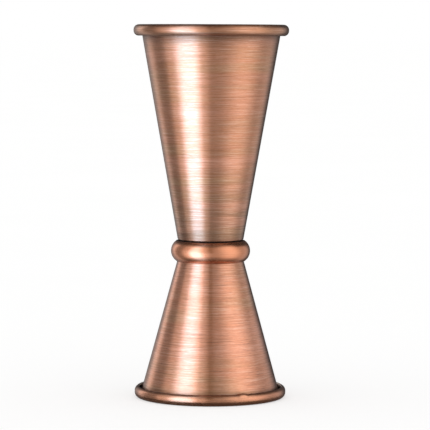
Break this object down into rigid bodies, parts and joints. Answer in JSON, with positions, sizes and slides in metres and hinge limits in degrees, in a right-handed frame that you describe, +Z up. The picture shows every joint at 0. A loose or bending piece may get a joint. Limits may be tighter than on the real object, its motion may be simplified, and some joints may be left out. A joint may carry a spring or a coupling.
{
  "type": "bar jigger",
  "caption": "Double-ended spirit measure: a large and a small conical cup joined base to base inside a half-round collar, with curled rims.",
  "frame": {"origin": "Centre of the small cup's rim, in the plane that the jigger stands on, with the large cup upwards.", "axes": "+Z up along the axis of revolution, from the small cup's rim to the large cup's rim; X and Y are any two directions across it."},
  "size_m": [0.047, 0.047, 0.113],
  "materials": {
    "large_cup_copper": "satin antique copper plating over stainless sheet, brushed round the cup",
    "small_cup_copper": "satin antique copper plating over stainless sheet, brushed round the cup",
    "collar_copper": "semi-polished antique copper plating over steel",
    "braze": "darkened filler metal"
  },
  "bodies": {
    "root": {"large_cup": "large_cup_copper", "small_cup": "small_cup_copper", "neck_collar": "collar_copper", "base_braze": "braze"}
  },
  "joints": []
}
